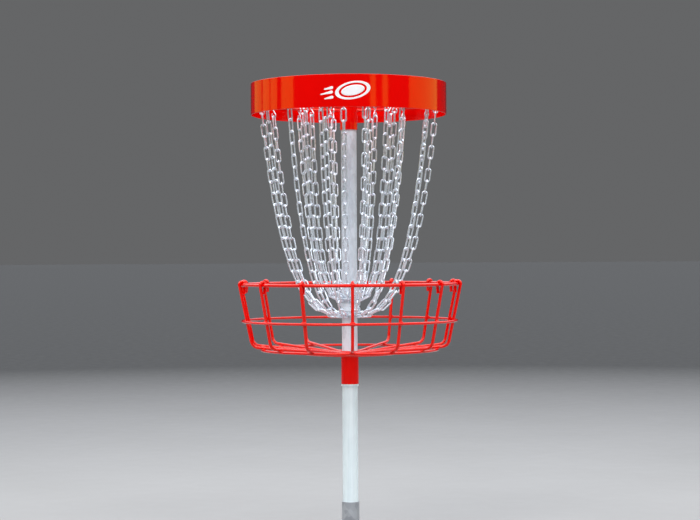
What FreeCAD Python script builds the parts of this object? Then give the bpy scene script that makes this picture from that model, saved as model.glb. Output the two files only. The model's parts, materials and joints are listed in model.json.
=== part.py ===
import FreeCAD, Part
import math
import os
import Sketcher
from FreeCAD import Placement, Rotation, Vector

# Disc golf basket: a free-standing pole with a catching basket, a top band and two
# rings of hanging chain strands that gather on a collector round the pole.
#
# Frame: millimetres, origin on the ground under the pole's axis, +Z up, front at -Y.
# A bearing is an angle about the pole, 0 at the front and growing towards +X.

# Driving sizes: alias, value, and what it is (mm, degrees or a count).
SIZES = [
    ("pole_dia", 48.3, "pole, outside diameter"),
    ("pole_wall", 2.6, "pole, wall thickness"),
    ("pole_top", 1430, "pole, height of its upper end"),
    ("collar_bore", 49, "collars that slide over the pole, bore"),
    ("collar_dia", 54.5, "collars, outside diameter"),
    ("stop_dia", 53.5, "pole stop ring, outside diameter"),
    ("stop_length", 7, "pole stop ring, length"),
    ("stop_height", 502, "pole stop ring, height of its underside"),
    ("weld", 0.4, "depth that welded rods sink into each other"),
    # basket
    ("basket_collar_length", 103, "basket collar, length"),
    ("wire_count", 14, "basket wires"),
    ("wire_bearing", 1.5, "basket wires, bearing of the first"),
    ("wire_dia", 9.5, "basket wires, rod diameter"),
    ("wall_lean", 11.8, "basket wall, lean outwards"),
    ("floor_rise", 5, "basket floor, rise towards the wall"),
    ("floor_height", 603, "basket wires, height where they meet the collar"),
    ("corner_radius", 25, "basket wires, bend between floor and wall"),
    ("hook_wrap", 198, "basket wires, angle that they wrap round the rim"),
    ("hook_tail", 26, "basket wires, straight end after the wrap"),
    ("rim_height", 820, "basket rim, height of the rod's centre"),
    ("rim_radius", 339.4, "basket rim, radius of the rod's centre line"),
    ("rim_rod", 10, "basket rim, rod diameter"),
    ("hoop_rod", 8, "basket hoops, rod diameter"),
    ("middle_hoop_height", 706, "middle hoop, height"),
    ("outer_floor_hoop", 275, "outer floor hoop, radius"),
    ("inner_floor_hoop", 141, "inner floor hoop, radius"),
    # top
    ("hub_bottom", 1300, "top hub, height of its lower end"),
    ("hub_cap_thickness", 5, "top hub cap, thickness"),
    ("band_dia", 609, "top band, outside diameter"),
    ("band_bottom", 1346, "top band, height of its lower edge"),
    ("band_height", 97, "top band, height"),
    ("band_sheet", 1.5, "top band, sheet thickness"),
    ("band_hem", 8, "top band, depth of the folded edges"),
    ("band_edge", 1, "top band, radius of the folded edges"),
    ("arm_count", 4, "top arms"),
    ("arm_bearing", 45, "top arms, bearing of the first"),
    ("arm_thickness", 5, "top arms, thickness"),
    ("arm_depth", 25, "top arms, depth"),
    ("arm_bottom", 1388, "top arms, height of the lower edge"),
    ("ring_rod", 8, "chain rings, rod diameter"),
    # chain
    ("strand_top", 1353, "chain strands, height of the upper end"),
    ("outer_count", 14, "outer strands"),
    ("outer_bearing", 10.6, "outer strands, bearing of the first"),
    ("outer_radius", 271, "outer strands, radius at the top"),
    ("outer_links", 20, "outer strands, links in each"),
    ("outer_end_height", 724, "outer strands, height of the lower end"),
    ("inner_count", 12, "inner strands"),
    ("inner_bearing", -6, "inner strands, bearing of the first"),
    ("inner_radius", 144, "inner strands, radius at the top"),
    ("inner_links", 17, "inner strands, links in each"),
    ("inner_end_height", 774, "inner strands, height of the lower end"),
    ("link_wire", 4.7, "chain link, wire diameter"),
    ("link_width", 19.2, "chain link, outside width"),
    ("link_pitch", 35.9, "chain link, spacing along a strand"),
    ("link_slack", 0.6, "chain link, inside length beyond the spacing"),
    ("twist_swing", 38, "chain strands, most that a strand twists and returns"),
    ("twist_step", 137.5, "chain strands, turn that sets one strand's twist apart from the next"),
    ("hook_wire", 4, "S-hook, wire diameter"),
    ("hook_eye", 10, "S-hook, inside diameter of its eyes"),
    ("hook_turn", 270, "S-hook, angle of each eye"),
    ("play", 0.3, "gap between a hook and the ring that it hangs on"),
    # collector
    ("sleeve_dia", 53, "collector sleeve, outside diameter"),
    ("sleeve_bottom", 735.5, "collector sleeve, height of its lower end"),
    ("sleeve_length", 25, "collector sleeve, length"),
    ("collector_rod", 5, "collector rings, rod diameter"),
    ("collector_ring", 33.3, "collector rings, radius of the rod's centre line"),
    ("tab_count", 4, "collector tabs at each ring"),
    ("tab_width", 4, "collector tabs, width"),
    ("tab_grip", 8, "collector tabs, length along the sleeve"),
    ("grub_dia", 6, "collector grub screw, diameter"),
    ("grub_hole", 6.3, "collector grub screw, hole through the sleeve"),
    ("grub_length", 6, "collector grub screw, length"),
    ("grub_socket", 3, "collector grub screw, hexagon socket across flats"),
    # set bolts
    ("bolt_dia", 10, "set bolts, shank diameter"),
    ("bolt_head", 17, "set bolts, head across flats"),
    ("bolt_head_height", 6.4, "set bolts, head height"),
    ("bolt_hole", 10.4, "set bolts, hole through the collar"),
    ("bolt_length", 24, "set bolts, shank length"),
    ("bolt_gap", 0.1, "set bolts and grub screw, gap to the pole"),
    ("nut_height", 8, "set bolt nuts, height"),
    ("collar_bolt_height", 535, "basket collar bolt, height"),
    ("hub_bolt_height", 1330, "hub bolt, height"),
    ("socket_bolt_height", 100, "base socket bolt, height"),
    # base
    ("base_dia", 640, "base ring, outside diameter"),
    ("base_bar_width", 40, "base bars, width"),
    ("base_bar_height", 12, "base bars, height"),
    ("base_edge", 2, "base bars, rounding of the upper edges"),
    ("base_plate_dia", 130, "base centre plate, diameter"),
    ("spoke_count", 4, "base spokes and gussets"),
    ("spoke_bearing", 45, "base spokes, bearing of the first"),
    ("socket_length", 130, "base socket, length"),
    ("gusset_height", 70, "base gussets, height"),
    ("gusset_reach", 110, "base gussets, reach from the pole's axis"),
    ("gusset_thickness", 6, "base gussets, thickness"),
    ("gusset_tip", 8, "base gussets, height at the outer end"),
]

doc = FreeCAD.newDocument("DiscGolfBasket")
sheet = doc.addObject("Spreadsheet::Sheet", "sizes")
for row, (alias, value, meaning) in enumerate(SIZES, start=1):
    sheet.set(f"A{row}", meaning)
    sheet.set(f"B{row}", str(value))
    sheet.setAlias(f"B{row}", alias)
doc.recompute()

UP = Vector(0, 0, 1)
WHOLE_TURN = 360
SAME_POINT = 1e-6
# search range for a catenary: half its span over its constant
FLATTEST = 1e-3
STEEPEST = 20
SAME_RATIO = 1e-12
PARTS = []


def size(formula):
    """The value of a formula written with the sheet's names, such as pole_dia / 2."""
    return sheet.evalExpression(formula)


def bind(item, prop, formula):
    """Bind one property of an object to a formula over the sheet's cells."""
    item.setExpression(prop, formula)


def keep(item, label):
    """Name an object as one of the basket's parts, to be written out."""
    item.Label = label
    PARTS.append(item)
    return item


def about_pole(bearing):
    """The turn that takes the XZ half-plane at +X to a bearing about the pole."""
    return Placement(Vector(), Rotation(UP, bearing - 90))


# ---------------------------------------------------------------- sketch helpers

def origin_feature(body, role):
    return next(item for item in body.Origin.OriginFeatures if item.Role == role)


def new_body(name):
    return doc.addObject("PartDesign::Body", name)


def new_sketch(body, role, name, offset=None):
    """A sketch on one of a body's origin planes, or at an offset along its normal."""
    sketch = body.newObject("Sketcher::SketchObject", name)
    sketch.AttachmentSupport = [(origin_feature(body, role), "")]
    sketch.MapMode = "FlatFace"
    if offset:
        bind(sketch, "AttachmentOffset.Base.z", offset)
    return sketch


def add_circle(sketch, diameter, centre_x="0", centre_y="0"):
    """A circle whose diameter and centre are bound to formulas."""
    centre = Vector(size(centre_x), size(centre_y), 0)
    circle = sketch.addGeometry(Part.Circle(centre, UP, size(diameter) / 2))
    rule = sketch.addConstraint(Sketcher.Constraint("Diameter", circle, size(diameter)))
    bind(sketch, f"Constraints[{rule}]", diameter)
    if centre.Length == 0:
        sketch.addConstraint(Sketcher.Constraint("Coincident", circle, 3, -1, 1))
        return
    for axis, formula in (("DistanceX", centre_x), ("DistanceY", centre_y)):
        rule = sketch.addConstraint(Sketcher.Constraint(axis, -1, 1, circle, 3, size(formula)))
        bind(sketch, f"Constraints[{rule}]", formula)


def add_outline(sketch, corners):
    """A closed outline of straight lines whose corners are bound to pairs of formulas."""
    points = [Vector(size(x), size(y), 0) for x, y in corners]
    lines = []
    for start, end in zip(points, points[1:] + points[:1]):
        lines.append(sketch.addGeometry(Part.LineSegment(start, end)))
    for line, following in zip(lines, lines[1:] + lines[:1]):
        sketch.addConstraint(Sketcher.Constraint("Coincident", line, 2, following, 1))
    for line, corner in zip(lines, corners):
        for axis, formula in zip(("DistanceX", "DistanceY"), corner):
            rule = sketch.addConstraint(
                Sketcher.Constraint(axis, -1, 1, line, 1, size(formula)))
            bind(sketch, f"Constraints[{rule}]", formula)


def add_hexagon(sketch, across_flats):
    """A regular hexagon about the sketch's origin."""
    corners = []
    for step in range(6):
        angle = 60 * step
        corners.append((f"{across_flats} / 2 / cos(30) * cos({angle})",
                        f"{across_flats} / 2 / cos(30) * sin({angle})"))
    add_outline(sketch, corners)


def pad(body, sketch, length, name):
    feature = body.newObject("PartDesign::Pad", name)
    feature.Profile = sketch
    bind(feature, "Length", length)
    return feature


def tube(name, outside, bore, length, bottom):
    """A round tube, or a round plate where the bore is None, standing at a height."""
    body = new_body(name)
    section = new_sketch(body, "XY_Plane", f"{name}_section")
    add_circle(section, outside)
    if bore:
        add_circle(section, bore)
    pad(body, section, length, f"{name}_pad")
    bind(body, "Placement.Base.z", bottom)
    return body


def pocket(body, sketch, length, name):
    """Cut a sketch out of a body, against the sketch's normal, and check that it cuts."""
    doc.recompute()
    before = body.Shape.Volume
    cut = body.newObject("PartDesign::Pocket", name)
    cut.Profile = sketch
    bind(cut, "Length", length)
    doc.recompute()
    if body.Shape.Volume >= before:
        raise RuntimeError(f"{name} cuts nothing")
    return cut


def hole_at_back(body, height, diameter):
    """A round hole through the back wall of a tube, at a height above the body's foot."""
    name = f"{body.Name}_hole"
    sketch = new_sketch(body, "XZ_Plane", f"{name}_circle")
    add_circle(sketch, diameter, "0", height)
    pocket(body, sketch, "sizes.collar_dia", name)


def rod_ring(name, radius, rod, height):
    """A round rod bent into a ring about the pole."""
    ring = doc.addObject("Part::Torus", name)
    bind(ring, "Radius1", radius)
    bind(ring, "Radius2", f"{rod} / 2")
    bind(ring, "Placement.Base.z", height)
    return ring


def shared_ends(sketch, first, second):
    """Which ends of two edges meet, where 1 is an edge's start and 2 its end."""
    for first_end in (1, 2):
        for second_end in (1, 2):
            gap = sketch.getPoint(first, first_end) - sketch.getPoint(second, second_end)
            if gap.Length < SAME_POINT:
                return first_end, second_end
    raise RuntimeError(f"{sketch.Name}: edges {first} and {second} don't meet")


def rod_along(name, role, edges, diameter, free_end=0):
    """A round rod swept along edges that are drawn on one of a body's origin planes.

    free_end is 0 where the path begins at the first edge's start, and 1 at its end.
    """
    body = new_body(name)
    path = new_sketch(body, role, f"{name}_path")
    for edge in edges:
        path.addGeometry(edge)
    for number in range(len(edges) - 1):
        first_end, second_end = shared_ends(path, number, number + 1)
        path.addConstraint(
            Sketcher.Constraint("Tangent", number, first_end, number + 1, second_end))
    section = body.newObject("Sketcher::SketchObject", f"{name}_section")
    section.AttachmentSupport = [(path, "Edge1")]
    section.MapMode = "NormalToEdge"
    section.MapPathParameter = free_end
    add_circle(section, diameter)
    pipe = body.newObject("PartDesign::AdditivePipe", f"{name}_pipe")
    pipe.Profile = section
    pipe.Spine = (path, [])
    return body


def arc(centre, radius, start, end):
    """An arc in a sketch, between two angles in degrees, counter-clockwise."""
    circle = Part.Circle(centre, UP, radius)
    return Part.ArcOfCircle(circle, math.radians(start), math.radians(end))


def polar(radius, angle):
    """A point in a sketch at a radius and an angle in degrees."""
    return Vector(radius * math.cos(math.radians(angle)), radius * math.sin(math.radians(angle)), 0)


def copies(name, pattern, placements):
    """One object that holds a copy of a pattern piece at each placement."""
    links = []
    for number, placement in enumerate(placements, start=1):
        link = doc.addObject("App::Link", f"{name}_{number:02d}")
        link.LinkedObject = pattern
        link.LinkTransform = True
        link.Placement = placement
        links.append(link)
    group = doc.addObject("Part::Compound", f"{name}_group")
    group.Links = links
    return keep(group, name)


def bearings(count, first):
    """Evenly spaced bearings about the pole."""
    number = round(size(count))
    return [size(first) + WHOLE_TURN / number * step for step in range(number)]


# ---------------------------------------------------------------- pole and base

def make_pole():
    pole = tube("pole", "sizes.pole_dia", "sizes.pole_dia - 2 * sizes.pole_wall",
                "sizes.pole_top - sizes.base_bar_height", "sizes.base_bar_height")
    keep(pole, "pole")
    stop = tube("pole_stop_ring", "sizes.stop_dia", "sizes.pole_dia", "sizes.stop_length",
                "sizes.stop_height")
    keep(stop, "pole_stop_ring")


def make_base_ring():
    body = new_body("base_ring")
    section = new_sketch(body, "XY_Plane", "base_ring_section")
    add_circle(section, "sizes.base_dia")
    add_circle(section, "sizes.base_dia - 2 * sizes.base_bar_width")
    ring = pad(body, section, "sizes.base_bar_height", "base_ring_pad")
    round_top_edges(body, ring)
    keep(body, "base_ring")


def round_top_edges(body, feature):
    """Round every edge of a base bar that lies wholly at its top face."""
    doc.recompute()
    top = size("sizes.base_bar_height")
    names = []
    for number, edge in enumerate(feature.Shape.Edges, start=1):
        if edge.BoundBox.ZMin > top - size("sizes.base_edge") / 10:
            names.append(f"Edge{number}")
    fillet = body.newObject("PartDesign::Fillet", f"{body.Name}_fillet")
    fillet.Base = (feature, names)
    bind(fillet, "Radius", "sizes.base_edge")


def make_base_spoke_pattern():
    """A flat bar from the centre plate to the ring, along +X."""
    body = new_body("base_spoke_pattern")
    section = new_sketch(body, "XY_Plane", "base_spoke_outline")
    half = "sizes.base_bar_width / 2"
    inner = f"sqrt((sizes.base_plate_dia / 2) ^ 2 - ({half}) ^ 2) - sizes.weld"
    outer = "sizes.base_dia / 2 - sizes.base_bar_width + sizes.weld"
    add_outline(section, [(inner, f"-{half}"), (outer, f"-{half}"), (outer, half), (inner, half)])
    bar = pad(body, section, "sizes.base_bar_height", "base_spoke_pad")
    round_top_edges(body, bar)
    return body


def make_gusset_pattern():
    """A stiffening plate that stands on a spoke against the socket, along +X."""
    body = new_body("gusset_pattern")
    outline = new_sketch(body, "XZ_Plane", "gusset_outline")
    foot = "sizes.base_bar_height"
    inner = "sizes.collar_dia / 2 - sizes.weld"
    add_outline(outline, [
        (inner, foot),
        ("sizes.gusset_reach", foot),
        ("sizes.gusset_reach", f"{foot} + sizes.gusset_tip"),
        (inner, f"{foot} + sizes.gusset_height"),
    ])
    plate = pad(body, outline, "sizes.gusset_thickness", "gusset_pad")
    plate.Midplane = True
    return body


def make_base():
    make_base_ring()
    plate = tube("base_plate", "sizes.base_plate_dia", None, "sizes.base_bar_height", "0")
    keep(plate, "base_plate")
    around = [about_pole(bearing) for bearing in bearings("sizes.spoke_count", "sizes.spoke_bearing")]
    copies("base_spokes", make_base_spoke_pattern(), around)
    copies("base_gussets", make_gusset_pattern(), around)
    socket = tube("base_socket", "sizes.collar_dia", "sizes.collar_bore", "sizes.socket_length",
                  "sizes.base_bar_height")
    hole_at_back(socket, "sizes.socket_bolt_height - sizes.base_bar_height", "sizes.bolt_hole")
    keep(socket, "base_socket")


# ---------------------------------------------------------------- basket

def wire_path():
    """One basket wire in the plane of the pole: floor, corner, wall, wrap and tail."""
    lean = size("sizes.wall_lean")
    rise = size("sizes.floor_rise")
    rim = Vector(size("sizes.rim_radius"), size("sizes.rim_height"), 0)
    wrap_radius = size("(sizes.rim_rod + sizes.wire_dia) / 2 - sizes.weld")
    wall_up = polar(1, 90 - lean)
    floor_out = polar(1, rise)
    wall_top = rim + polar(wrap_radius, -lean)
    floor_start = Vector(size("sizes.collar_dia / 2 - sizes.weld"), size("sizes.floor_height"), 0)
    # the wall line and the floor line meet at the corner
    across = wall_top - floor_start
    run = (across.x * wall_up.y - across.y * wall_up.x) / (
        floor_out.x * wall_up.y - floor_out.y * wall_up.x)
    corner = floor_start + floor_out * run
    bend = size("sizes.corner_radius")
    setback = bend * math.tan(math.radians(90 - lean - rise) / 2)
    bend_start = corner - floor_out * setback
    bend_centre = bend_start + polar(bend, 90 + rise)
    wrap_end = size("sizes.hook_wrap") - lean
    tail_start = rim + polar(wrap_radius, wrap_end)
    tail_end = tail_start + polar(size("sizes.hook_tail"), wrap_end + 90)
    return [
        Part.LineSegment(floor_start, bend_start),
        arc(bend_centre, bend, rise - 90, -lean),
        Part.LineSegment(corner + wall_up * setback, wall_top),
        arc(rim, wrap_radius, -lean, wrap_end),
        Part.LineSegment(tail_start, tail_end),
    ]


def floor_hoop_height(radius):
    """Height of a hoop that is welded under the rising floor wires."""
    return (f"sizes.floor_height + ({radius} - sizes.collar_dia / 2) * tan(sizes.floor_rise)"
            " - ((sizes.wire_dia + sizes.hoop_rod) / 2 - sizes.weld) / cos(sizes.floor_rise)")


def make_basket():
    collar = tube("basket_collar", "sizes.collar_dia", "sizes.collar_bore",
                  "sizes.basket_collar_length", "sizes.stop_height + sizes.stop_length")
    hole_at_back(collar, "sizes.collar_bolt_height - sizes.stop_height - sizes.stop_length",
                 "sizes.bolt_hole")
    keep(collar, "basket_collar")
    wire = rod_along("basket_wire_pattern", "XZ_Plane", wire_path(), "sizes.wire_dia")
    around = [about_pole(bearing) for bearing in bearings("sizes.wire_count", "sizes.wire_bearing")]
    copies("basket_wires", wire, around)
    keep(rod_ring("rim", "sizes.rim_radius", "sizes.rim_rod", "sizes.rim_height"), "basket_rim")
    # the middle hoop lies outside the leaning wires
    middle = ("sizes.rim_radius + (sizes.rim_rod - sizes.weld * 2 + sizes.wire_dia * 2"
              " + sizes.hoop_rod - sizes.weld * 2) / 2 / cos(sizes.wall_lean)"
              " - (sizes.rim_height - sizes.middle_hoop_height) * tan(sizes.wall_lean)")
    keep(rod_ring("middle_hoop", middle, "sizes.hoop_rod", "sizes.middle_hoop_height"),
         "basket_middle_hoop")
    for hoop in ("outer_floor_hoop", "inner_floor_hoop"):
        radius = f"sizes.{hoop}"
        keep(rod_ring(hoop, radius, "sizes.hoop_rod", floor_hoop_height(radius)), f"basket_{hoop}")


# ---------------------------------------------------------------- top

def make_band():
    """A hoop of sheet with both edges folded inwards."""
    body = new_body("band")
    section = new_sketch(body, "XZ_Plane", "band_section")
    outer = "sizes.band_dia / 2"
    web = f"{outer} - sizes.band_sheet"
    fold = f"{outer} - 2 * sizes.band_sheet"
    top = "sizes.band_height"
    add_outline(section, [
        (fold, "0"), (outer, "0"), (outer, top), (fold, top),
        (fold, f"{top} - sizes.band_hem"), (web, f"{top} - sizes.band_hem"),
        (web, "sizes.band_hem"), (fold, "sizes.band_hem"),
    ])
    hoop = body.newObject("PartDesign::Revolution", "band_revolution")
    hoop.Profile = section
    hoop.ReferenceAxis = (origin_feature(body, "Z_Axis"), [""])
    hoop.Angle = WHOLE_TURN
    doc.recompute()
    rims = []
    for number, edge in enumerate(hoop.Shape.Edges, start=1):
        level = edge.BoundBox.ZMax - edge.BoundBox.ZMin < size("sizes.band_edge")
        end = edge.BoundBox.ZMin
        at_end = min(end, size(top) - end) < size("sizes.band_edge") / 2
        if level and at_end:
            rims.append(f"Edge{number}")
    fillet = body.newObject("PartDesign::Fillet", "band_fillet")
    fillet.Base = (hoop, rims)
    bind(fillet, "Radius", "sizes.band_edge")
    bind(body, "Placement.Base.z", "sizes.band_bottom")
    keep(body, "band")


def make_arm_pattern():
    """A flat bar on edge from the hub to the band, along +X."""
    arm = doc.addObject("Part::Box", "arm_pattern")
    inner = "sizes.collar_dia / 2 - sizes.weld"
    outer = "sizes.band_dia / 2 - sizes.band_sheet + sizes.weld"
    bind(arm, "Length", f"{outer} - ({inner})")
    bind(arm, "Width", "sizes.arm_thickness")
    bind(arm, "Height", "sizes.arm_depth")
    bind(arm, "Placement.Base.x", inner)
    bind(arm, "Placement.Base.y", "-sizes.arm_thickness / 2")
    bind(arm, "Placement.Base.z", "sizes.arm_bottom")
    return arm


def make_top():
    hub = tube("top_hub", "sizes.collar_dia", "sizes.collar_bore",
               "sizes.pole_top - sizes.hub_bottom", "sizes.hub_bottom")
    hole_at_back(hub, "sizes.hub_bolt_height - sizes.hub_bottom", "sizes.bolt_hole")
    keep(hub, "top_hub")
    cap = tube("hub_cap", "sizes.collar_dia", None, "sizes.hub_cap_thickness", "sizes.pole_top")
    keep(cap, "hub_cap")
    make_band()
    around = [about_pole(bearing) for bearing in bearings("sizes.arm_count", "sizes.arm_bearing")]
    copies("top_arms", make_arm_pattern(), around)
    ring_height = "sizes.arm_bottom - sizes.ring_rod / 2 + sizes.weld"
    for ring in ("outer", "inner"):
        keep(rod_ring(f"{ring}_ring", f"sizes.{ring}_radius", "sizes.ring_rod", ring_height),
             f"{ring}_chain_ring")


# ---------------------------------------------------------------- chain

def make_link_pattern():
    """One long chain link, lying in the XY plane with its length along X."""
    bend = size("(sizes.link_width - sizes.link_wire) / 2")
    inside = size("sizes.link_pitch + sizes.link_slack")
    half = inside / 2 + size("sizes.link_wire / 2") - bend
    edges = [
        Part.LineSegment(Vector(-half, -bend, 0), Vector(half, -bend, 0)),
        arc(Vector(half, 0, 0), bend, -90, 90),
        Part.LineSegment(Vector(half, bend, 0), Vector(-half, bend, 0)),
        arc(Vector(-half, 0, 0), bend, 90, 270),
    ]
    return rod_along("link_pattern", "XY_Plane", edges, "sizes.link_wire")


def catenary(start, end, length):
    """The constant, lowest radius and lowest height of a chain that hangs between two points.

    Points are (radius, height) pairs, the start lower and nearer the pole than the end.
    """
    span = end[0] - start[0]
    climb = end[1] - start[1]
    fullness = math.sqrt(length ** 2 - climb ** 2) / span
    low, high = FLATTEST, STEEPEST
    while high - low > SAME_RATIO:
        middle = (low + high) / 2
        if math.sinh(middle) / middle < fullness:
            low = middle
        else:
            high = middle
    constant = span / (2 * low)
    bottom = (start[0] + end[0]) / 2 - constant * math.atanh(climb / length)
    floor = start[1] - constant * (math.cosh((start[0] - bottom) / constant) - 1)
    return constant, bottom, floor


def strand_points(ring):
    """The points where the links of a strand meet, from its upper end to its lower end."""
    number = round(size(f"sizes.{ring}_links"))
    length = number * size("sizes.link_pitch")
    upper = (size(f"sizes.{ring}_radius"), size("sizes.strand_top"))
    lower = (size("sizes.collector_ring - sizes.collector_rod / 2"),
             size(f"sizes.{ring}_end_height"))
    constant, bottom, floor = catenary(lower, upper, length)
    lower_run = constant * math.sinh((lower[0] - bottom) / constant)
    points = []
    for step in range(number + 1):
        run = lower_run + length * (1 - step / number)
        radius = bottom + constant * math.asinh(run / constant)
        height = floor + constant * (math.cosh((radius - bottom) / constant) - 1)
        points.append(Vector(radius, 0, height))
    return points


def strand_placements(ring, order, bearing):
    """Where each link of one strand goes, alternate links a quarter turn apart.

    The first link lies across the hook, and the last one stands upright round the
    collector ring, so a strand with an odd number of links takes one more quarter turn,
    spread along it. Each strand also twists a little and returns.
    """
    points = strand_points(ring)
    number = len(points) - 1
    across = Vector(0, 1, 0)
    extra_turn = 90 if number % 2 else 0
    swing = size("sizes.twist_swing") * math.sin(math.radians(size("sizes.twist_step") * order))
    placements = []
    for step, (start, end) in enumerate(zip(points, points[1:])):
        along = (end - start).normalize()
        share = step / (number - 1)
        roll = 90 * (step % 2) + extra_turn * share + swing * math.sin(math.pi * share)
        lying = Rotation(along, across, along.cross(across), "XYZ")
        rolled = Rotation(along, roll).multiply(lying)
        placements.append(about_pole(bearing).multiply(Placement((start + end) / 2, rolled)))
    return placements


def make_hook_pattern():
    """An S-hook in the XZ plane, its upper eye's centre at the origin."""
    radius = size("(sizes.hook_eye + sizes.hook_wire) / 2")
    lower = Vector(0, size(f"{hook_link_height()} - ({hook_ring_height()})"), 0)
    # the straight middle touches the two eyes on opposite sides
    slope = math.degrees(math.asin(2 * radius / lower.Length))
    turn = size("sizes.hook_turn")
    edges = [
        arc(Vector(), radius, -slope, turn - slope),
        Part.LineSegment(polar(radius, -slope), lower + polar(radius, 180 - slope)),
        arc(lower, radius, 180 - slope, 180 - slope + turn),
    ]
    return rod_along("hook_pattern", "XZ_Plane", edges, "sizes.hook_wire", free_end=1)


def hook_ring_height():
    """Height of the eye by which an S-hook hangs on its chain ring."""
    return "sizes.arm_bottom + sizes.weld + sizes.play - sizes.hook_eye / 2"


def hook_link_height():
    """Height of the eye that holds a strand's first link."""
    return "sizes.strand_top + sizes.hook_eye / 2"


def make_chains():
    link = make_link_pattern()
    hook = make_hook_pattern()
    doc.recompute()
    for ring in ("outer", "inner"):
        hung_at = Placement(Vector(size(f"sizes.{ring}_radius"), 0, size(hook_ring_height())),
                            Rotation())
        around = bearings(f"sizes.{ring}_count", f"sizes.{ring}_bearing")
        copies(f"{ring}_hooks", hook, [about_pole(bearing).multiply(hung_at) for bearing in around])
        for order, bearing in enumerate(around, start=1):
            copies(f"{ring}_strand_{order:02d}", link, strand_placements(ring, order, bearing))


# ---------------------------------------------------------------- collector

def make_tab_pattern():
    """A small block between the sleeve and a collector ring, along +X."""
    tab = doc.addObject("Part::Box", "tab_pattern")
    inner = "sizes.sleeve_dia / 2 - sizes.weld"
    bind(tab, "Length", f"sizes.collector_ring - ({inner})")
    bind(tab, "Width", "sizes.tab_width")
    bind(tab, "Height", "sizes.inner_end_height - sizes.collector_rod / 2 + sizes.weld"
         " - (sizes.sleeve_bottom + sizes.sleeve_length - sizes.tab_grip)")
    bind(tab, "Placement.Base.x", inner)
    bind(tab, "Placement.Base.y", "-sizes.tab_width / 2")
    return tab


def tab_placements():
    """Tabs above and below the sleeve, each in a gap between two strands."""
    above = size("sizes.sleeve_bottom + sizes.sleeve_length - sizes.tab_grip")
    below = size("sizes.outer_end_height + sizes.collector_rod / 2 - sizes.weld")
    placements = []
    for ring, height in (("inner", above), ("outer", below)):
        around = bearings(f"sizes.{ring}_count", f"sizes.{ring}_bearing")
        half_gap = WHOLE_TURN / len(around) / 2
        tabs = round(size("sizes.tab_count"))
        for number in range(tabs):
            bearing = around[number * len(around) // tabs] + half_gap
            placements.append(about_pole(bearing).multiply(
                Placement(Vector(0, 0, height), Rotation())))
    return placements


def make_collector():
    sleeve = tube("collector_sleeve", "sizes.sleeve_dia", "sizes.collar_bore",
                  "sizes.sleeve_length", "sizes.sleeve_bottom")
    hole_at_back(sleeve, "sizes.sleeve_length / 2", "sizes.grub_hole")
    keep(sleeve, "collector_sleeve")
    for ring, place in (("inner", "upper"), ("outer", "lower")):
        keep(rod_ring(f"collector_{place}_ring", "sizes.collector_ring", "sizes.collector_rod",
                      f"sizes.{ring}_end_height"), f"collector_{place}_ring")
    copies("collector_tabs", make_tab_pattern(), tab_placements())
    grub = new_body("grub_pattern")
    section = new_sketch(grub, "YZ_Plane", "grub_section")
    add_circle(section, "sizes.grub_dia")
    pad(grub, section, "sizes.grub_length", "grub_pad")
    socket = new_sketch(grub, "YZ_Plane", "grub_socket", "sizes.grub_length")
    add_hexagon(socket, "sizes.grub_socket")
    pocket(grub, socket, "sizes.grub_socket", "grub_pocket")
    copies("collector_grub_screw", grub, [
        at_back("sizes.sleeve_bottom + sizes.sleeve_length / 2", "sizes.pole_dia / 2 + sizes.bolt_gap")])


# ---------------------------------------------------------------- set bolts

def at_back(height, radius):
    """The placement of a fastener that points from the pole towards the back."""
    place = Placement(Vector(size(radius), 0, size(height)), Rotation())
    return about_pole(WHOLE_TURN / 2).multiply(place)


def make_set_bolts():
    """Bolts through nuts that are welded to the base socket, the basket collar and the hub."""
    heights = ["sizes.socket_bolt_height", "sizes.collar_bolt_height", "sizes.hub_bolt_height"]
    bolt = new_body("bolt_pattern")
    shank = new_sketch(bolt, "YZ_Plane", "bolt_shank_section")
    add_circle(shank, "sizes.bolt_dia")
    pad(bolt, shank, "sizes.bolt_length", "bolt_shank")
    head = new_sketch(bolt, "YZ_Plane", "bolt_head_section", "sizes.bolt_length")
    add_hexagon(head, "sizes.bolt_head")
    pad(bolt, head, "sizes.bolt_head_height", "bolt_head")
    nut = new_body("nut_pattern")
    section = new_sketch(nut, "YZ_Plane", "nut_section")
    add_hexagon(section, "sizes.bolt_head")
    add_circle(section, "sizes.bolt_hole")
    pad(nut, section, "sizes.nut_height", "nut_pad")
    doc.recompute()
    copies("set_bolts", bolt, [at_back(height, "sizes.pole_dia / 2 + sizes.bolt_gap")
                               for height in heights])
    copies("set_bolt_nuts", nut, [at_back(height, "sizes.collar_dia / 2 - sizes.weld")
                                  for height in heights])


# ---------------------------------------------------------------- the whole basket

def check_document():
    """Stop if any object failed to build or any part has no valid solid."""
    for item in doc.Objects:
        if "Invalid" in item.State or "Error" in item.State:
            raise RuntimeError(f"{item.Label} failed: {item.State}")
    for part in PARTS:
        shape = part.Shape
        if shape.isNull() or not shape.isValid() or not shape.Solids:
            raise RuntimeError(f"{part.Label} has no valid solid")


def write_parts():
    os.makedirs("parts", exist_ok=True)
    for part in PARTS:
        part.Shape.exportStep(f"parts/{part.Label}.step")


make_pole()
make_base()
make_basket()
make_top()
make_chains()
make_collector()
make_set_bolts()
doc.recompute()
check_document()
write_parts()
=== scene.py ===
import json
import math

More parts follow.
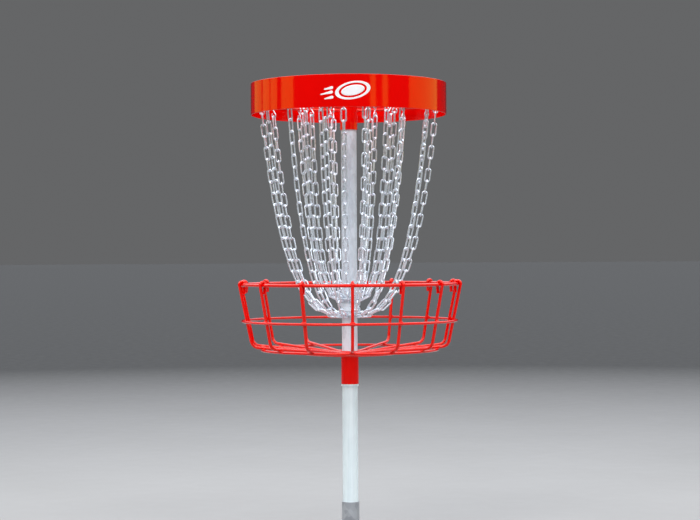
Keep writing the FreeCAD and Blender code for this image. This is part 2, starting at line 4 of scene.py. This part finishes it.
import bmesh
import bpy
import numpy as np
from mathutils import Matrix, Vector

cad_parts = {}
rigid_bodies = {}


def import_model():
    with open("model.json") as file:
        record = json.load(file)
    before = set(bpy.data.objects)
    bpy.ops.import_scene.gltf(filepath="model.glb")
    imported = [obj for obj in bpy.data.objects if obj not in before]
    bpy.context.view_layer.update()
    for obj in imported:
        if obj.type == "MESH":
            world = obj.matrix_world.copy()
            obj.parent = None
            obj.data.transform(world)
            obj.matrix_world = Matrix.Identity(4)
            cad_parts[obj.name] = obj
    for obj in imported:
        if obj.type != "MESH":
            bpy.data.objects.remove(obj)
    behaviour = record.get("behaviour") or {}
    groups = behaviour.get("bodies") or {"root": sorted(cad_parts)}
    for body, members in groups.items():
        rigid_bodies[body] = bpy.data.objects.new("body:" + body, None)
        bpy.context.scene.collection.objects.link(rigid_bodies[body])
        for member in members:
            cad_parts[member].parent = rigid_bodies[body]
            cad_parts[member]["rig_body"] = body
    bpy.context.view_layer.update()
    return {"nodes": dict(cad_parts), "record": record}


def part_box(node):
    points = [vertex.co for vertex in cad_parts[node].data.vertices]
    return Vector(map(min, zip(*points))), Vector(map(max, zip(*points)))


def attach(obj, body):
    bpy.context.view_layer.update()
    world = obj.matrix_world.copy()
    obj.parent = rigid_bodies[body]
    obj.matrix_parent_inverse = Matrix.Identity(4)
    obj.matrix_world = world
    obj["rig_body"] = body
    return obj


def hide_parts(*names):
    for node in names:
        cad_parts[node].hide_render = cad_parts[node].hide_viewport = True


# Looks of the disc golf basket. Metres, +Z up, the basket's front faces -Y.
# A bearing is an angle about the pole, 0 at the front and growing towards +X.

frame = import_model()
nodes = frame["nodes"]
slot_of = {part["node"]: part["material_slot"] for part in frame["record"]["subparts"]}
MM = 0.001
UP = Vector((0, 0, 1))


# ---------------------------------------------------------------- materials

class Look:
    """One node material, with short calls for the nodes that it uses."""

    def __init__(self, name, **constants):
        self.material = bpy.data.materials.new(name)
        self.material.use_nodes = True
        self.tree = self.material.node_tree
        self.tree.nodes.clear()
        self.shader = self.node("ShaderNodeBsdfPrincipled")
        output = self.node("ShaderNodeOutputMaterial")
        self.tree.links.new(self.shader.outputs["BSDF"], output.inputs["Surface"])
        self.place = self.node("ShaderNodeTexCoord").outputs["Object"]
        for socket, value in constants.items():
            self.shader.inputs[socket.replace("_", " ")].default_value = value

    def node(self, kind, **settings):
        made = self.tree.nodes.new(kind)
        for name, value in settings.items():
            setattr(made, name, value)
        return made

    def feed(self, socket, value):
        """Put a number, a colour or another node's output into a socket."""
        if isinstance(value, bpy.types.NodeSocket):
            self.tree.links.new(value, socket)
        elif isinstance(value, tuple) and len(value) == 3 and len(socket.default_value) == 4:
            socket.default_value = (*value, 1)
        else:
            socket.default_value = value

    def stretched(self, stretch):
        """The place on the object, scaled along each axis."""
        mapping = self.node("ShaderNodeMapping")
        self.feed(mapping.inputs["Vector"], self.place)
        mapping.inputs["Scale"].default_value = stretch
        return mapping.outputs["Vector"]

    def noise(self, scale, detail=3, roughness=0.5, stretch=None):
        made = self.node("ShaderNodeTexNoise")
        self.feed(made.inputs["Vector"], self.stretched(stretch) if stretch else self.place)
        made.inputs["Scale"].default_value = scale
        made.inputs["Detail"].default_value = detail
        made.inputs["Roughness"].default_value = roughness
        return made.outputs["Fac"]

    def cells(self, scale, stretch=None):
        """A random value in each cell of a Voronoi pattern."""
        made = self.node("ShaderNodeTexVoronoi")
        self.feed(made.inputs["Vector"], self.stretched(stretch) if stretch else self.place)
        made.inputs["Scale"].default_value = scale
        channels = self.node("ShaderNodeSeparateColor")
        self.feed(channels.inputs["Color"], made.outputs["Color"])
        return channels.outputs["Red"]

    def spread(self, value, low, high, out_low, out_high):
        """Map a value between low and high to a new range, and hold it at the ends."""
        made = self.node("ShaderNodeMapRange")
        for name, content in (("Value", value), ("From Min", low), ("From Max", high),
                              ("To Min", out_low), ("To Max", out_high)):
            self.feed(made.inputs[name], content)
        return made.outputs["Result"]

    def sum_or_product(self, operation, first, second):
        made = self.node("ShaderNodeMath", operation=operation)
        self.feed(made.inputs[0], first)
        self.feed(made.inputs[1], second)
        return made.outputs["Value"]

    def times(self, first, second):
        return self.sum_or_product("MULTIPLY", first, second)

    def plus(self, first, second):
        return self.sum_or_product("ADD", first, second)

    def blend(self, share, first, second):
        """The first colour, with a share of the second in it."""
        made = self.node("ShaderNodeMix", data_type="RGBA")
        self.feed(made.inputs[0], share)
        self.feed(made.inputs[6], first)
        self.feed(made.inputs[7], second)
        return made.outputs[2]

    def axis(self, vector, letter):
        """One component of a vector."""
        split = self.node("ShaderNodeSeparateXYZ")
        self.feed(split.inputs["Vector"], vector)
        return split.outputs[letter]

    def facing_up(self, start, end):
        """0 on walls and undersides, rising to 1 where the surface faces up."""
        normal = self.node("ShaderNodeNewGeometry").outputs["Normal"]
        return self.spread(self.axis(normal, "Z"), start, end, 0.0, 1.0)

    def colour(self, value):
        self.feed(self.shader.inputs["Base Color"], value)

    def gloss(self, value):
        self.feed(self.shader.inputs["Roughness"], value)

    def bump(self, height, distance):
        made = self.node("ShaderNodeBump")
        self.feed(made.inputs["Height"], height)
        made.inputs["Distance"].default_value = distance
        self.feed(self.shader.inputs["Normal"], made.outputs["Normal"])


def red_powder_coat():
    """Glossy red paint with a fine grain, and a little dust where it faces up."""
    look = Look("red_powder_coat", Coat_Weight=0.35, Coat_Roughness=0.04, Coat_IOR=1.4,
                Specular_IOR_Level=0.42, Specular_Tint=(1.0, 0.62, 0.36, 1))
    cloud = look.spread(look.noise(5, 4), 0.35, 0.65, 0.0, 1.0)
    red = look.blend(cloud, (0.66, 0.0004, 0.0002), (0.75, 0.0009, 0.0004))
    grain = look.spread(look.noise(1400, 2), 0.3, 0.7, 0.0, 0.16)
    red = look.blend(grain, red, (0.88, 0.003, 0.001))
    patchy = look.spread(look.noise(38, 5), 0.42, 0.75, 0.0, 0.14)
    dust = look.times(look.facing_up(0.55, 1.0), patchy)
    look.colour(look.blend(dust, red, (0.62, 0.22, 0.14)))
    uneven = look.spread(look.noise(60, 4), 0.3, 0.7, 0.05, 0.12)
    look.gloss(look.plus(uneven, look.times(dust, 1.2)))
    look.bump(look.noise(520, 2), 0.05 * MM)
    return look.material


POLE_PALE_BELOW = 0.48
POLE_GREY_ABOVE = 0.62


def galvanised_tube():
    """Galvanised tube with spangle and drawn streaks, paler on the pole's lower part."""
    look = Look("galvanised_tube", Metallic=0.2, Specular_IOR_Level=0.35)
    spangle = look.cells(85, (1, 1, 0.6))
    fine = look.cells(230)
    streak = look.noise(1, 4, 0.6, (70, 70, 3.5))
    grey = look.blend(spangle, (0.54, 0.59, 0.63), (0.67, 0.73, 0.77))
    grey = look.blend(look.spread(fine, 0, 1, 0.0, 0.35), grey, (0.69, 0.73, 0.79))
    grey = look.blend(look.spread(streak, 0.45, 0.75, 0.0, 0.45), grey, (0.77, 0.81, 0.85))
    height = look.axis(look.place, "Z")
    low = look.spread(height, POLE_PALE_BELOW, POLE_GREY_ABOVE, 1.0, 0.0)
    pale = look.blend(look.spread(streak, 0.4, 0.7, 0.0, 1.0),
                      (0.66, 0.75, 0.75), (0.78, 0.86, 0.85))
    look.colour(look.blend(look.times(low, 0.8), grey, pale))
    look.gloss(look.plus(look.spread(spangle, 0, 1, 0.38, 0.50),
                         look.spread(look.noise(25, 3), 0.3, 0.7, 0.0, 0.12)))
    look.bump(look.plus(look.noise(300, 3), look.times(spangle, 0.4)), 0.12 * MM)
    return look.material


def bright_zinc(name, colour_low, colour_high, rough_low, rough_high):
    """Bright zinc plate for chain and small hardware, with duller patches."""
    look = Look(name, Metallic=0.72)
    cloud = look.spread(look.noise(130, 4), 0.3, 0.7, 0.0, 1.0)
    plate = look.blend(cloud, colour_low, colour_high)
    dull = look.spread(look.noise(45, 5, 0.6), 0.52, 0.74, 0.0, 0.4)
    look.colour(look.blend(dull, plate, (0.50, 0.52, 0.55)))
    look.gloss(look.plus(look.spread(look.noise(420, 3), 0.3, 0.7, rough_low, rough_high),
                         look.times(dull, 0.35)))
    look.bump(look.noise(900, 3), 0.07 * MM)
    return look.material


def dull_base_steel():
    """Weathered galvanised steel, with brown dirt where it faces up."""
    look = Look("galvanised_base", Metallic=0.5)
    spangle = look.cells(60)
    grey = look.blend(spangle, (0.28, 0.295, 0.31), (0.40, 0.415, 0.43))
    patch = look.spread(look.noise(9, 6, 0.6), 0.45, 0.7, 0.0, 0.6)
    grey = look.blend(patch, grey, (0.46, 0.47, 0.47))
    patchy = look.spread(look.noise(30, 6), 0.5, 0.75, 0.0, 0.5)
    dirt = look.times(look.facing_up(0.3, 0.9), patchy)
    look.colour(look.blend(dirt, grey, (0.36, 0.33, 0.28)))
    look.gloss(look.plus(look.spread(spangle, 0, 1, 0.42, 0.55), look.times(dirt, 0.4)))
    look.bump(look.plus(look.noise(260, 4), look.times(spangle, 0.3)), 0.2 * MM)
    return look.material


def white_vinyl():
    """Satin white film, slightly uneven."""
    look = Look("white_vinyl", Coat_Weight=0.2)
    cloud = look.spread(look.noise(30, 4), 0.3, 0.7, 0.0, 1.0)
    look.colour(look.blend(cloud, (0.80, 0.78, 0.77), (0.88, 0.87, 0.86)))
    look.gloss(look.spread(look.noise(90, 3), 0.3, 0.7, 0.28, 0.4))
    look.bump(look.noise(700, 2), 0.04 * MM)
    return look.material


def pale_floor():
    """Pale round the basket and darker far away, like the sweep of a studio: the darkening is a
    painted fall-off of light into the backdrop.
    """
    look = Look("pale_floor", Specular_IOR_Level=0.1)
    distance = look.node("ShaderNodeVectorMath", operation="LENGTH")
    look.feed(distance.inputs[0], look.place)
    # painted light: the colour fades from pale near the basket to dark far away, as light
    # falling off would
    painted_falloff = look.spread(distance.outputs["Value"], 1.5, 9.0, 0.0, 1.0)
    cloud = look.spread(look.noise(1.5, 5), 0.3, 0.7, 0.0, 1.0)
    near = look.blend(cloud, (0.262, 0.258, 0.246), (0.276, 0.272, 0.26))
    look.colour(look.blend(painted_falloff, near, (0.036, 0.036, 0.0337)))
    look.gloss(look.spread(look.noise(12, 4), 0.3, 0.7, 0.7, 0.8))
    return look.material


LOOKS = {
    "red_paint": red_powder_coat(),
    "galvanised": galvanised_tube(),
    "zinc_chain": bright_zinc("zinc_chain_plate",
                              (0.71, 0.77, 0.83), (0.85, 0.90, 0.945), 0.24, 0.36),
    "zinc_hardware": bright_zinc("zinc_bolt_plate",
                                 (0.66, 0.68, 0.72), (0.80, 0.82, 0.85), 0.2, 0.34),
    "base_steel": dull_base_steel(),
}
for name, node in nodes.items():
    for place in node.material_slots:
        place.material = LOOKS[slot_of[name]]


# ---------------------------------------------------------------- directions

def at_bearing(bearing, radius, height):
    return Vector((radius * math.sin(bearing), -radius * math.cos(bearing), height))


def radial(bearing):
    return at_bearing(bearing, 1, 0)


def tangent(bearing):
    return Vector((math.cos(bearing), math.sin(bearing), 0))


# ---------------------------------------------------------------- mesh helpers

def add_piece(name, body, parts, slot, material=None, replaced=()):
    """One smooth mesh object made of several (vertices, faces) parts."""
    start, vertices, faces = 0, [], []
    for part_vertices, part_faces in parts:
        vertices.append(np.array([tuple(v) for v in part_vertices], float))
        faces.extend(tuple(start + corner for corner in face) for face in part_faces)
        start += len(part_vertices)
    mesh = bpy.data.meshes.new(name)
    mesh.from_pydata(np.concatenate(vertices), [], faces)
    mesh.validate()
    mesh.polygons.foreach_set("use_smooth", [True] * len(mesh.polygons))
    mesh.materials.append(material or LOOKS[slot])
    piece = bpy.data.objects.new(name, mesh)
    bpy.context.scene.collection.objects.link(piece)
    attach(piece, body)
    if replaced:
        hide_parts(*replaced)
    return piece


def bands(rows, sides, closed=False):
    """The faces between rows of vertices that go round; a closed run joins last to first."""
    faces = []
    for row in range(rows if closed else rows - 1):
        here, there = row * sides, (row + 1) % rows * sides
        for step in range(sides):
            following = (step + 1) % sides
            faces.append((here + step, here + following, there + following, there + step))
    return faces


def rod(points, radii, sides=12, closed=False):
    """A rod along points, with its own radius at each; an open rod has flat ends."""
    points = [Vector(p) for p in points]
    count = len(points)
    vertices = []
    side = None
    for number, point in enumerate(points):
        ahead = points[(number + 1) % count] if closed or number + 1 < count else point
        behind = points[number - 1] if closed or number else point
        along = (ahead - behind).normalized()
        if side is None:
            side = along.orthogonal().normalized()
        side = (side - along * side.dot(along)).normalized()
        other = along.cross(side)
        for step in range(sides):
            turn = 2 * math.pi * step / sides
            across = side * math.cos(turn) + other * math.sin(turn)
            vertices.append(point + across * radii[number])
    faces = bands(count, sides, closed)
    if not closed:
        faces.append(tuple(reversed(range(sides))))
        faces.append(tuple((count - 1) * sides + step for step in range(sides)))
    return vertices, faces


WELD_SIDES = 10
# shares of a bead's radius, apart from the share of its section that is left at an end
BEAD_STEP = 0.45
RING_BEAD_STEP = 0.5
BEAD_TAPER = 2 / 3
BEAD_END_SECTION = 0.25


def bead(start, end, radius):
    """A weld bead along a line: a rippled rod, half as thick at both ends."""
    length = (end - start).length
    count = max(8, round(length / (BEAD_STEP * radius)))
    path, radii = [], []
    for number in range(count + 1):
        share = number / count
        path.append(start.lerp(end, share))
        from_end = min(share, 1 - share) * length
        section = BEAD_END_SECTION + (1 - BEAD_END_SECTION) * from_end / (BEAD_TAPER * radius)
        thickness = math.sqrt(min(1, section))
        ripple = 1 + 0.09 * math.sin(number * 2.1) + 0.05 * math.sin(number * 0.83 + 1)
        radii.append(radius * thickness * ripple)
    return rod(path, radii, WELD_SIDES)


def ring_bead(ring_radius, height, radius):
    """A weld bead all the way round the pole's axis."""
    count = max(48, round(2 * math.pi * ring_radius / (RING_BEAD_STEP * radius)))
    points, radii = [], []
    for number in range(count):
        turn = number * 2 * math.pi / count
        points.append(at_bearing(turn, ring_radius, height))
        # whole numbers of waves, so that the ripple closes
        ripple = 0.08 * math.sin(turn * (count // 3)) + 0.04 * math.sin(turn * (count // 7))
        radii.append(radius * (1 + ripple))
    return rod(points, radii, WELD_SIDES, closed=True)


def weld_puddle(centre, first, second, half_sizes):
    """A low blob of weld in the crevice where two rods cross."""
    third = first.cross(second)
    made = bmesh.new()
    bmesh.ops.create_icosphere(made, subdivisions=3, radius=1)
    vertices = []
    for vertex in made.verts:
        x, y, z = vertex.co
        turn = math.atan2(y, x)
        cross = 0.12 * math.cos(4 * turn + math.pi) * (1 - z * z)
        swell = 1 + cross + 0.03 * math.sin(7 * turn + 5 * z)
        vertices.append(centre + first * (x * half_sizes[0] * swell)
                        + second * (y * half_sizes[1] * swell) + third * (z * half_sizes[2]))
    faces = [tuple(corner.index for corner in face.verts) for face in made.faces]
    made.free()
    return vertices, faces


def solids_of(node):
    """A CAD node's vertices, one array for each separate solid, the highest solid first."""
    mesh = nodes[node].data
    corners = np.empty(len(mesh.vertices) * 3, np.float32)
    mesh.vertices.foreach_get("co", corners)
    corners = corners.reshape(-1, 3).astype(float)
    points, corner_at = np.unique(corners, axis=0, return_inverse=True)
    ends = np.empty(len(mesh.edges) * 2, np.int32)
    mesh.edges.foreach_get("vertices", ends)
    first, second = corner_at.reshape(-1)[ends.reshape(-1, 2)].T
    # the two ends of each edge take the lower label, until no edge joins two labels
    solid_at = np.arange(len(points))
    while np.any(solid_at[first] != solid_at[second]):
        lowest = np.minimum(solid_at[first], solid_at[second])
        np.minimum.at(solid_at, solid_at[first], lowest)
        np.minimum.at(solid_at, solid_at[second], lowest)
        while np.any(solid_at != solid_at[solid_at]):
            solid_at = solid_at[solid_at]
    found = [points[solid_at == solid] for solid in np.unique(solid_at)]
    return sorted(found, key=lambda solid: -solid[:, 2].mean())


# ---------------------------------------------------------------- chain

LINK_WIRE = 4.7 * MM
LINK_WIDTH = 19.2 * MM
LINK_LENGTH = 45.9 * MM
LINK_WELD_SWELL = 0.10
LINK_WELD_REACH = 2.2 * MM
HALF_TURN = np.array([1, -1, -1])  # about a link's length


def link_shape():
    """One welded chain link in its own frame: length along X, width along Y."""
    bend = (LINK_WIDTH - LINK_WIRE) / 2
    half = (LINK_LENGTH - LINK_WIDTH) / 2
    arc_steps, side_steps = 14, 10
    half_loop = []
    for step in range(side_steps):
        half_loop.append(Vector((-half + 2 * half * step / side_steps, -bend, 0)))
    for step in range(arc_steps):
        turn = -math.pi / 2 + math.pi * step / arc_steps
        half_loop.append(Vector((half + bend * math.cos(turn), bend * math.sin(turn), 0)))
    points = half_loop + [-point for point in half_loop]
    radii = []
    for point in points:
        # the weld is in the middle of one straight side
        from_weld = abs(point.x) if point.y < -0.9 * bend else LINK_LENGTH
        swell = LINK_WELD_SWELL * math.exp(-(from_weld / LINK_WELD_REACH) ** 2)
        radii.append(LINK_WIRE / 2 * (1 + swell))
    return rod(points, radii, closed=True)


def principal_axes(points):
    """The middle of a solid's extents along its own axes, and the axes, longest first."""
    centred = points - points.mean(axis=0)
    axes = np.linalg.eigh(centred.T @ centred)[1].T[::-1]
    spans = points @ axes.T
    return (spans.min(axis=0) + spans.max(axis=0)) / 2 @ axes, axes


def link_frames(node):
    """The middle of each link of a strand, and its axes: along, across and through."""
    frames = []
    for solid in solids_of(node):
        middle, axes = principal_axes(solid)
        along, across = axes[:2] * np.sign(axes[0][2])
        frames.append((middle, np.array((along, across, np.cross(along, across)))))
    return frames


def make_strands():
    """Detailed links where each strand's plain ones are, on the strand's own body."""
    vertices, faces = link_shape()
    vertices = np.array([tuple(v) for v in vertices])
    for node in sorted(n for n in nodes if "_strand_" in n):
        parts = []
        for number, (middle, axes) in enumerate(link_frames(node)):
            # the weld changes sides after every second link
            shape = vertices * HALF_TURN if (number // 2) % 2 else vertices
            parts.append((shape @ axes + middle, faces))
        add_piece(f"{node}_links", nodes[node]["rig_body"], parts, "zinc_chain", replaced=[node])


# ---------------------------------------------------------------- welds

PUDDLE_SINK = 0.3 * MM
ON_TOP = math.pi / 2
ARM_BEARINGS = [math.radians(45 + 90 * n) for n in range(4)]


def bearings_of(node):
    """The bearing of each of a node's solids."""
    middles = [solid[:, :2].mean(axis=0) for solid in solids_of(node)]
    return [math.atan2(x, -y) for x, y in middles]


def puddles_at_ring(ring, around, tilt, sizes):
    """Puddles where rods at these bearings cross a rod ring.

    The tilt is the side of the ring's rod: 0 outwards, a quarter turn for its top.
    """
    low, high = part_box(ring)
    rod_radius = (high.z - low.z) / 2
    made = []
    for bearing in around:
        out = radial(bearing)
        towards = out * math.cos(tilt) + UP * math.sin(tilt)
        centre = at_bearing(bearing, high.x - rod_radius, (high.z + low.z) / 2)
        centre += towards * (rod_radius - PUDDLE_SINK)
        along_rod = UP * math.cos(tilt) - out * math.sin(tilt)
        made.append(weld_puddle(centre, tangent(bearing), along_rod, sizes))
    return made


def make_basket_welds():
    wall_lean = math.radians(11.8)
    rim_lean = 0.1
    floor_rise = math.radians(5)
    wires_foot = 603 * MM
    foot_gap = 5.2 * MM
    foot_weld = 2.4 * MM
    off_collar = 0.6 * MM
    puddle = (8.6 * MM, 7.2 * MM, 2.3 * MM)
    around = bearings_of("basket_wires")
    welds = puddles_at_ring("basket_middle_hoop", around, math.pi - wall_lean, puddle)
    welds += puddles_at_ring("basket_rim", around, math.pi - rim_lean, puddle)
    for hoop in ("basket_outer_floor_hoop", "basket_inner_floor_hoop"):
        welds += puddles_at_ring(hoop, around, ON_TOP + floor_rise, puddle)
    collar_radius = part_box("basket_collar")[1].x
    for height in (wires_foot + foot_gap, wires_foot - foot_gap):
        welds.append(ring_bead(collar_radius + off_collar, height, foot_weld))
    add_piece("basket_welds", "stand", welds, "red_paint")


def make_top_welds():
    arm_weld = 1.9 * MM
    arm_weld_length = 23 * MM
    arm_weld_start = 1 * MM
    beside_arm = 3.2 * MM
    off_wall = 0.5 * MM
    band_sheet = 1.5 * MM
    cap_weld = 1.3 * MM
    cap_weld_inset = 0.6 * MM
    puddle = (6.5 * MM, 5.2 * MM, 2 * MM)
    arm_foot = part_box("top_arms")[0].z
    hub_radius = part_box("top_hub")[1].x
    band_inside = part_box("band")[1].x - band_sheet
    welds = []
    for bearing in ARM_BEARINGS:
        for arm_end in (hub_radius + off_wall, band_inside - off_wall):
            for side in (-1, 1):
                foot = at_bearing(bearing, arm_end, arm_foot + arm_weld_start)
                foot += tangent(bearing) * side * beside_arm
                welds.append(bead(foot, foot + UP * arm_weld_length, arm_weld))
    for ring in ("outer_chain_ring", "inner_chain_ring"):
        welds += puddles_at_ring(ring, ARM_BEARINGS, ON_TOP, puddle)
    cap_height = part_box("hub_cap")[0].z
    welds.append(ring_bead(hub_radius - cap_weld_inset, cap_height, cap_weld))
    add_piece("top_welds", "stand", welds, "red_paint")


def make_base_welds():
    gusset_weld = 2.4 * MM
    beside_gusset = 3.8 * MM
    gusset_weld_end = 108 * MM
    gusset_weld_rise = 64 * MM
    bar_weld = 2.6 * MM
    bar_width = 40 * MM
    off_plate = 0.6 * MM
    off_socket = 0.8 * MM
    gusset_corner = 0.4 * MM
    into_plate = 3.2 * MM
    under_plate = 0.4 * MM
    plate_bar_half = 17 * MM
    ring_bar_half = 18 * MM
    socket_weld = 3 * MM
    socket_low, socket_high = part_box("base_socket")
    socket_radius = socket_high.x
    plate_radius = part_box("base_plate")[1].x
    ring_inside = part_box("base_ring")[1].x - bar_width
    gusset_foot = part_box("base_gussets")[0].z
    welds = [ring_bead(socket_radius + off_socket, socket_low.z + off_socket, socket_weld)]
    for bearing in ARM_BEARINGS:
        for side in (-1, 1):
            beside = tangent(bearing) * side * beside_gusset
            along_spoke = [at_bearing(bearing, reach, gusset_foot + off_plate) + beside
                           for reach in (socket_radius + socket_weld, gusset_weld_end)]
            welds.append(bead(*along_spoke, gusset_weld))
            corner = at_bearing(bearing, socket_radius + gusset_corner,
                                gusset_foot + socket_weld) + beside
            welds.append(bead(corner, corner + UP * gusset_weld_rise, gusset_weld))
        # a bead across the spoke at each end, on the plate's edge and inside the ring
        for reach, half_width in ((plate_radius - into_plate, plate_bar_half),
                                  (ring_inside, ring_bar_half)):
            across_spoke = [at_bearing(bearing, reach, socket_low.z - under_plate)
                            + tangent(bearing) * side * half_width for side in (-1, 1)]
            welds.append(bead(*across_spoke, bar_weld))
    add_piece("base_welds", "stand", welds, "base_steel")


# ---------------------------------------------------------------- mark on the band

PATCH_LIFT = 0.30 * MM
PATCH_EDGE_LIFT = 0.22 * MM
PATCH_SINK = -0.1 * MM
PATCH_SKIRT = 0.004  # share of the outline


def patch_on_band(centre_x, centre_z, outline, hole=0.0, rings=10):
    """A thin raised shape on the band inside a closed outline, with an open middle if asked.

    The outline is a list of (x, z) points about the centre, and x runs along the band.
    The hole is the open middle's size as a share of the outline.
    """
    band_low, band_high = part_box("band")
    radius = band_high.x
    middle = (band_low.z + band_high.z) / 2
    # each level is a share of the outline and a height above the band
    levels = [(hole + (1 - hole) * ring / rings, PATCH_LIFT) for ring in range(1, rings)]
    levels += [(1, PATCH_EDGE_LIFT), (1 + PATCH_SKIRT, PATCH_SINK)]
    if hole:
        inner_edge = [(hole * (1 - PATCH_SKIRT), PATCH_SINK), (hole, PATCH_EDGE_LIFT)]
        levels = inner_edge + levels
    vertices = []
    for share, lift in levels:
        vertices.extend(at_bearing((centre_x + x * share) / radius, radius + lift,
                                   middle + centre_z + z * share) for x, z in outline)
    # the faces of the bands look inwards, so their corners go the other way round here
    faces = [(a, d, c, b) for a, b, c, d in bands(len(levels), len(outline))]
    if not hole:
        faces.append(tuple(range(len(outline))))
    return vertices, faces


def turned(points, angle):
    c, s = math.cos(angle), math.sin(angle)
    return [(x * c - z * s, x * s + z * c) for x, z in points]


def oval_outline(half_width, half_height):
    turns = [2 * math.pi * step / 64 for step in range(64)]
    return [(half_width * math.cos(turn), half_height * math.sin(turn)) for turn in turns]


def streak_outline(half_length, half_height):
    """A bar with a round end towards the disc, which narrows to a blunt end behind."""
    points = []
    for step in range(13):
        turn = math.radians(-90 + 15 * step)
        points.append((half_length - half_height + half_height * math.cos(turn),
                       half_height * math.sin(turn)))
    points.append((-half_length, half_height * 0.35))
    points.append((-half_length, -half_height * 0.35))
    return points


def make_mark():
    """A flying disc: an oval in an oval ring, with three streaks behind it."""
    tilt = math.radians(11)
    disc_x = 13 * MM
    streak_half_height = 4.4 * MM
    # middle along the band, middle above the disc's, and half length, in millimetres
    streaks = ((-59, 6, 14), (-65, -8, 19), (-58, -22, 14))
    rim = turned(oval_outline(53 * MM, 26 * MM), tilt)
    disc = turned(oval_outline(35 * MM, 15 * MM), tilt)
    mark = [patch_on_band(disc_x, 0, rim, hole=0.80), patch_on_band(disc_x, 0, disc)]
    for x, z, half_length in streaks:
        streak = turned(streak_outline(half_length * MM, streak_half_height), tilt)
        mark.append(patch_on_band(x * MM, z * MM, streak))
    add_piece("band_mark", "stand", mark, "red_paint", material=white_vinyl())


# ---------------------------------------------------------------- floor, light and camera

WARM = (1.0, 0.85, 0.12)
# warm panels that the band mirrors: first bearing, last bearing and brightness
PANELS = ((-139, -118, 0.5), (-115, -101, 0.9), (-99, -88, 1.1), (-81, -64, 1.3),
          (24, 30, 1.3), (38, 44, 1.4), (72, 122, 1.0))
PANEL_DISTANCE = 3.4
PANEL_HEIGHT = 0.55
PANEL_MIDDLE = 1.72
BAND_MIDDLE = 1.4
FLOOR_RADIUS = 300
CAMERA_PLACE = (0.0020, -5.3, 0.901)
CAMERA_PITCH = 89.933
CAMERA_ROLL = 0.3


def make_floor():
    made = bmesh.new()
    bmesh.ops.create_circle(made, cap_ends=True, cap_tris=False, segments=96,
                            radius=FLOOR_RADIUS)
    mesh = bpy.data.meshes.new("floor")
    made.to_mesh(mesh)
    made.free()
    mesh.materials.append(pale_floor())
    floor = bpy.data.objects.new("floor", mesh)
    bpy.context.scene.collection.objects.link(floor)


def add_light(name, kind, energy, colour, **settings):
    data = bpy.data.lights.new(name, kind)
    data.energy = energy
    data.color = colour
    for setting, value in settings.items():
        setattr(data, setting, value)
    light = bpy.data.objects.new(name, data)
    bpy.context.scene.collection.objects.link(light)
    return light


def side_panel(name, start, end, brightness):
    """A low soft panel between two bearings in degrees, facing the band."""
    width = 2 * PANEL_DISTANCE * math.tan(math.radians((end - start) / 2))
    power = brightness * math.pi * width * PANEL_HEIGHT
    light = add_light(name, "AREA", power, WARM,
                      shape="RECTANGLE", size=width, size_y=PANEL_HEIGHT)
    light.location = at_bearing(math.radians((start + end) / 2), PANEL_DISTANCE, PANEL_MIDDLE)
    facing = Vector((0, 0, BAND_MIDDLE)) - light.location
    light.rotation_euler = facing.to_track_quat("-Z", "Y").to_euler()


def sun(name, bearing, elevation, strength, angle, colour):
    """Even light from a large soft source, far away at a bearing and a height in degrees."""
    light = add_light(name, "SUN", strength, colour, angle=math.radians(angle))
    level = at_bearing(math.radians(bearing), math.cos(math.radians(elevation)), 0)
    away = level + UP * math.sin(math.radians(elevation))
    light.rotation_euler = away.to_track_quat("Z", "Y").to_euler()


def make_world():
    """A grey backdrop, lit from a bright ceiling that darkens towards the horizon."""
    world = bpy.data.worlds.new("studio")
    bpy.context.scene.world = world
    world.use_nodes = True
    tree = world.node_tree
    split = tree.nodes.new("ShaderNodeSeparateXYZ")
    ramp = tree.nodes.new("ShaderNodeValToRGB")
    shown = tree.nodes.new("ShaderNodeMix")
    shown.data_type = "RGBA"
    place = tree.nodes.new("ShaderNodeTexCoord").outputs["Generated"]
    seen = tree.nodes.new("ShaderNodeLightPath").outputs["Is Camera Ray"]
    tree.links.new(place, split.inputs["Vector"])
    tree.links.new(split.outputs["Z"], ramp.inputs["Fac"])
    tree.links.new(seen, shown.inputs[0])
    tree.links.new(ramp.outputs["Color"], shown.inputs[6])
    shown.inputs[7].default_value = (0.13, 0.132, 0.135, 1)
    tree.links.new(shown.outputs[2], tree.nodes["Background"].inputs["Color"])
    horizon, ceiling = ramp.color_ramp.elements
    horizon.position = 0.2
    horizon.color = (0.03, 0.032, 0.035, 1)
    ceiling.position = 0.58
    ceiling.color = (2.25, 2.35, 2.6, 1)


def make_lights():
    sun("key", -28, 42, 1.0, 28, (1.0, 0.98, 0.96))
    sun("fill", 40, 35, 0.5, 40, (0.95, 0.97, 1.0))
    for number, (start, end, brightness) in enumerate(PANELS):
        side_panel(f"side_panel_{number}", start, end, brightness)


def make_camera():
    """A little above the basket's rim, square to the front."""
    data = bpy.data.cameras.new("camera")
    data.lens = 87.4
    data.sensor_width = 36
    camera = bpy.data.objects.new("camera", data)
    camera.location = CAMERA_PLACE
    camera.rotation_euler = (math.radians(CAMERA_PITCH), math.radians(CAMERA_ROLL), 0)
    bpy.context.scene.collection.objects.link(camera)
    bpy.context.scene.camera = camera


make_strands()
make_basket_welds()
make_top_welds()
make_base_welds()
make_mark()
make_floor()
make_world()
make_lights()
make_camera()
bpy.context.scene.view_settings.view_transform = "Standard"
